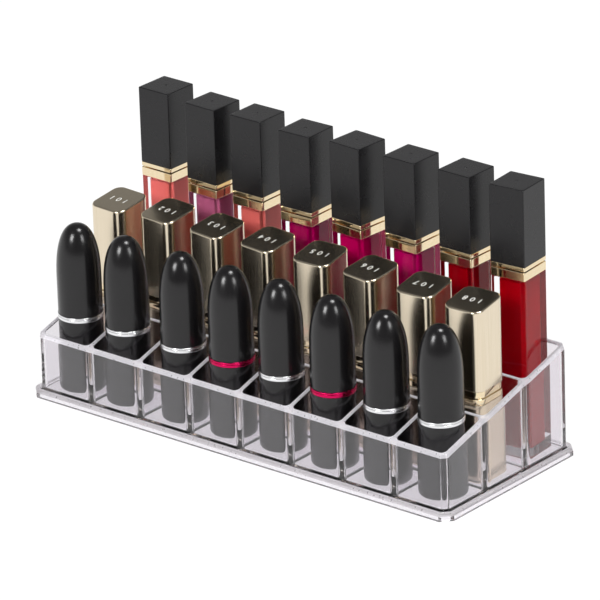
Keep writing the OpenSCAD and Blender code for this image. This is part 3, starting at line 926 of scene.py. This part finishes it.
# Lip gloss: a thick tinted oil, opaque at this depth, with soft streaks where it was filled
gloss_materials = []
for name, hex_value in gloss_finishes:
    material, tree = new_material(f"lip_gloss_{name}")
    place = add_node(tree, "ShaderNodeTexCoord")
    stretch = add_node(tree, "ShaderNodeMapping", {
        "Vector": place.outputs["Object"], "Scale": (220, 220, 40)})
    swirl = add_node(tree, "ShaderNodeTexNoise", {"Vector": stretch.outputs[0], "Scale": 1, "Detail": 2})
    value = add_node(tree, "ShaderNodeMapRange", {"Value": swirl.outputs[0], "To Min": 0.88, "To Max": 1.12})
    shade = add_node(tree, "ShaderNodeHueSaturation", {
        "Color": linear(hex_value), "Value": value.outputs[0]})
    fluid = add_node(tree, "ShaderNodeBsdfPrincipled", {
        "Base Color": shade.outputs[0], "Roughness": 0.3, "IOR": 1.47, "Specular IOR Level": 0.0})
    add_node(tree, "ShaderNodeOutputMaterial", {"Surface": fluid.outputs[0]})
    gloss_materials.append(material)


def square_band(low_z, high_z, top_edge, hole_r):
    """Rows of a square band with soft edges round a round hole: up its outside, and down the hole."""
    half = gloss_w / 2
    outside = filleted([(half - band_foot_lip, low_z), (half, low_z, band_edge), (half, high_z, top_edge),
                        (half - band_top_lip, high_z)])
    hole = np.array([[hole_r, high_z], [hole_r, low_z]])
    return np.concatenate([square_rows(outside, band_corner), round_rows(hole, item_steps)])


for n in columns:
    seat = seat_of(f"gloss_bottle_{n}", gloss_turns[n - 1])
    bottle_node, fluid_node, cap_node = f"gloss_bottle_{n}", f"gloss_fluid_{n}", f"gloss_cap_{n}"
    body, cover = f"gloss_{n}", f"gloss_wand_{n}"
    half = gloss_w / 2
    core_half = half - bottle_wall
    core_top = bottle_h - shoulder_t
    collar_top = bottle_h + gloss_collar_h
    neck_top = collar_top + neck_h
    bore_r = applicator_r + cap_gap
    wiper_r = bore_r + wiper_wall
    wiper_seat_r = wiper_r + fit_gap

    outside = filleted([
        (0, foot_recess_h), (half - foot_recess_in, foot_recess_h, recess_edge), (half - foot_ring_in, 0),
        (half, 0, bottle_foot_edge), (half, bottle_h, shoulder_edge), (neck_r + neck_foot_lip, bottle_h)])
    neck = filleted([(neck_r, bottle_h), (neck_r, neck_top, neck_rim_edge), (wiper_seat_r, neck_top),
                     (wiper_seat_r, core_top)])
    core = filleted([(core_half - core_mouth_in, core_top), (core_half, core_top, core_top_edge),
                     (core_half, bottle_floor, core_foot_edge), (0, bottle_floor)])
    rows = np.concatenate([square_rows(outside, bottle_corner), round_rows(neck, item_steps),
                           square_rows(core, core_corner)])
    seated(swept(f"gloss_bottle_{n}_body", rows), seat, bottle_plastic, body, bottle_node)

    wiper = filleted([(wiper_r, core_top, wiper_edge), (wiper_r, neck_top, wiper_edge),
                      (bore_r, neck_top, wiper_mouth_edge), (bore_r, core_top, wiper_edge)], closed=True)
    seated(swept(f"gloss_wiper_{n}", round_rows(wiper, item_steps), closed=True), seat, wiper_plastic,
           body, bottle_node)

    rows = square_band(bottle_h + seam, collar_top, gloss_collar_edge, neck_r + fit_gap)
    seated(swept(f"gloss_collar_{n}", rows, closed=True), seat, polished_gold, body,
           bottle_node)

    wide = core_half + fluid_overlap
    fluid_foot = bottle_floor - fluid_overlap
    fluid_top = core_top - fluid_top_gap
    wand_tip = bottle_floor + wand_above
    channel_foot = wand_tip - cap_gap
    fluid = filleted([(0, fluid_foot), (wide, fluid_foot, core_foot_edge),
                      (wide, fluid_top, fluid_top_edge), (bore_r + fluid_mouth_lip, fluid_top)])
    channel = np.array([[bore_r, fluid_top], [bore_r, channel_foot], [0, channel_foot]])
    rows = np.concatenate([square_rows(fluid, core_corner), round_rows(channel, item_steps)])
    seated(swept(f"gloss_fill_{n}", rows), seat, gloss_materials[n - 1], body,
           fluid_node)

    ring_z = collar_top + gloss_gap_h
    cap_z = ring_z + gloss_ring_h
    cap_top = cap_z + gloss_cap_h
    cavity_r = neck_r + cap_gap
    ceiling = neck_top + cap_gap
    wand_top = ceiling + wand_hold
    wand_hole_r = wand_r + fit_gap
    rows = square_band(ring_z, cap_z - seam, band_edge, cavity_r)
    seated(swept(f"gloss_ring_{n}", rows, closed=True), seat, polished_gold, cover,
           cap_node)

    dimple_floor = cap_top - dimple_h
    dimple = filleted([(0, dimple_floor), (dimple_r * dimple_floor_share, dimple_floor, dimple_floor_edge),
                       (dimple_r, cap_top, dimple_rim_edge), (dimple_r + dimple_rim_lip, cap_top)])
    shell = filleted([(half - gloss_cap_top_lip, cap_top), (half, cap_top, gloss_cap_top_edge),
                      (half, cap_z, gloss_cap_foot_edge), (cavity_r + gloss_cap_mouth_lip, cap_z)])
    cavity = np.array([[cavity_r, cap_z], [cavity_r, ceiling], [wand_hole_r, ceiling],
                       [wand_hole_r, wand_top], [0, wand_top]])
    rows = np.concatenate([round_rows(dimple, item_steps), square_rows(shell, gloss_cap_corner),
                           round_rows(cavity, item_steps)])
    seated(swept(f"gloss_cap_{n}_shell", rows), seat, cap_black, cover, cap_node)

    wand_foot = wand_tip + applicator_h - applicator_hold
    wand = filleted([(0, wand_foot), (wand_r, wand_foot, wand_edge), (wand_r, wand_top - seam, wand_edge),
                     (0, wand_top - seam)])
    seated(swept(f"gloss_wand_{n}", round_rows(wand, wand_steps)), seat, wand_plastic, cover,
           cap_node)
    rise = np.linspace(0, pi / 2, applicator_tip_steps + 1)
    tip = np.stack([applicator_r * np.sin(rise), wand_tip + applicator_r * (1 - np.cos(rise))], 1)
    sleeve_top = wand_tip + applicator_h
    sleeve = filleted([
        (applicator_r, wand_tip + applicator_tip_h), (applicator_r, sleeve_top, applicator_edge),
        (wand_hole_r, sleeve_top), (wand_hole_r, wand_foot - seam), (0, wand_foot - seam)])
    rows = round_rows(np.concatenate([tip, sleeve]), wand_steps)
    seated(swept(f"gloss_applicator_{n}", rows), seat, flocked_nylon, cover, cap_node)

bpy.context.view_layer.update()
